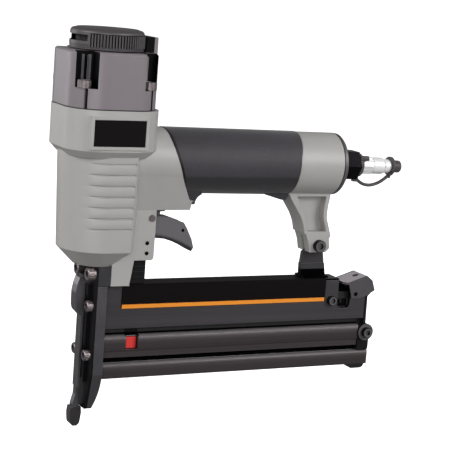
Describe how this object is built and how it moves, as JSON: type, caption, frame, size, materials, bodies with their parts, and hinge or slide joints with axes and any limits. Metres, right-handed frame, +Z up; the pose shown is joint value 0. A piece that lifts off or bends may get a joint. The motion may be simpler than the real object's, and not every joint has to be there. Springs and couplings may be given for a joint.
{
  "type": "pneumatic nail gun",
  "caption": "Handheld air-powered brad nailer with a draw-back magazine, contact safety, rubber grip, turning exhaust cap and quick air plug.",
  "frame": {"origin": "the point where the fastener leaves the tool: on the driver's axis, in the plane of the soft pad's contact face", "axes": "+Z up the driver's axis to the head, +X back along the magazine and the handle, +Y to the side; Y = 0 is the middle plane"},
  "size_m": [0.2547, 0.063, 0.2568],
  "materials": {
    "grey_casting": "satin warm grey enamel on die-cast metal",
    "head_paint": "satin mauve-grey enamel on die-cast metal",
    "deflector_finish": "dark satin enamel",
    "light_steel": "zinc-plated steel screws",
    "black_steel": "black oxide steel",
    "tool_steel": "ground steel",
    "spring_steel": "spring wire",
    "nose_alloy": "machined light alloy",
    "magazine_finish": "dark anodised extrusion",
    "label_black": "glossy dark film, bare",
    "stripe_orange": "glossy orange line",
    "signal_red": "red indicator",
    "black_plastic": "moulded black plastic",
    "rubber_black": "black rubber",
    "grip_rubber": "textured charcoal rubber",
    "filter_foam": "open foam",
    "trigger_finish": "dark grey satin trigger",
    "chrome_plug": "bright plated steel"
  },
  "bodies": {
    "root": {"housing": "grey_casting", "cylinder_cap": "head_paint", "cap_gasket": "rubber_black", "cap_screws": "light_steel", "exhaust_bolt": "black_steel", "exhaust_filter": "filter_foam", "cylinder_sleeve": "nose_alloy", "sleeve_rings": "rubber_black", "bumper": "rubber_black", "head_valve_spring": "spring_steel", "driver_guide": "tool_steel", "nose_front_plate": "tool_steel", "nose_block": "nose_alloy", "nose_top_screws": "light_steel", "nose_plate_screws": "light_steel", "linkage_guide": "black_plastic", "safety_spring": "spring_steel", "guide_pins": "black_steel", "magazine_housing": "magazine_finish", "magazine_label": "label_black", "label_stripes": "stripe_orange", "magazine_bolt": "black_steel", "latch_pin": "black_steel", "latch_spring": "spring_steel", "rear_bracket": "black_steel", "leg_bolt": "black_steel", "grip_sleeve": "grip_rubber", "end_cap_gasket": "rubber_black", "end_cap": "black_steel", "inlet_bushing": "black_steel", "tether_ring": "rubber_black", "air_plug": "chrome_plug", "tether_strap": "rubber_black", "trigger_pin": "light_steel", "trigger_valve_body": "black_plastic", "valve_spring": "spring_steel", "name_plates": "label_black"},
    "deflector": {"exhaust_deflector": "deflector_finish"},
    "driver": {"piston": "nose_alloy", "piston_ring": "rubber_black", "driver_blade": "tool_steel"},
    "main_valve": {"head_valve": "black_plastic"},
    "contact": {"contact_element": "tool_steel", "no_mar_tip": "rubber_black", "safety_linkage": "tool_steel"},
    "slide": {"magazine_slide": "magazine_finish", "slide_end_block": "black_plastic", "slide_end_bolt": "black_steel", "rear_foot": "rubber_black", "spring_rod": "tool_steel", "pusher_spring": "spring_steel"},
    "follower": {"pusher": "black_plastic", "pusher_indicator": "signal_red"},
    "latch": {"latch_lever": "black_steel"},
    "trigger_body": {"trigger": "trigger_finish", "toggle_pin": "black_steel"},
    "toggle": {"trigger_toggle": "tool_steel"},
    "stem": {"valve_stem": "tool_steel"},
    "plug_cover": {"dust_cap": "rubber_black"}
  },
  "joints": [
    {"name": "deflector_turn", "type": "hinge", "parent": "root", "child": "deflector", "pos_m": [0, 0, 0.25], "axis": [0, 0, 1], "continuous": true},
    {"name": "driver_stroke", "type": "slide", "parent": "root", "child": "driver", "axis": [0, 0, -1], "range_m": [0, 0.084]},
    {"name": "main_valve_lift", "type": "slide", "parent": "root", "child": "main_valve", "axis": [0, 0, 1], "range_m": [0, 0.004], "stiffness_N_per_m": 1500, "springref_m": -0.004, "deforming": ["head_valve_spring"]},
    {"name": "contact_press", "type": "slide", "parent": "root", "child": "contact", "axis": [0, 0, 1], "range_m": [0, 0.009], "stiffness_N_per_m": 800, "springref_m": -0.02, "deforming": ["safety_spring"]},
    {"name": "magazine_draw", "type": "slide", "parent": "root", "child": "slide", "axis": [1, 0, 0], "range_m": [0, 0.13]},
    {"name": "follower_run", "type": "slide", "parent": "slide", "child": "follower", "axis": [1, 0, 0], "range_m": [0, 0.12], "stiffness_N_per_m": 40, "springref_m": -0.1, "deforming": ["pusher_spring"]},
    {"name": "latch_lift", "type": "hinge", "parent": "root", "child": "latch", "pos_m": [0.1935, 0, 0.0826], "axis": [0, -1, 0], "range_deg": [0, 12], "stiffness_Nm_per_rad": 0.5, "springref_deg": -22.92, "deforming": ["latch_spring"]},
    {"name": "trigger_pull", "type": "hinge", "parent": "root", "child": "trigger_body", "pos_m": [0.0332, 0, 0.1384], "axis": [0, -1, 0], "range_deg": [0, 10], "stiffness_Nm_per_rad": 0.6, "springref_deg": -17.19},
    {"name": "toggle_turn", "type": "hinge", "parent": "trigger_body", "child": "toggle", "pos_m": [0.0591, 0, 0.1286], "axis": [0, 1, 0], "range_deg": [0, 8.7]},
    {"name": "valve_lift", "type": "slide", "parent": "root", "child": "stem", "axis": [0, 0, 1], "range_m": [0, 0.0019], "deforming": ["valve_spring"]},
    {"name": "cover_pull", "type": "slide", "parent": "root", "child": "plug_cover", "axis": [0.9996, 0, -0.0279], "range_m": [0, 0.012]}
  ],
  "couplings": [
    {"joint": "toggle_turn", "follows": "contact_press", "rad_per_m": 16.66},
    {"joint": "valve_lift", "follows": "trigger_pull", "m_per_rad": 0.01085}
  ]
}
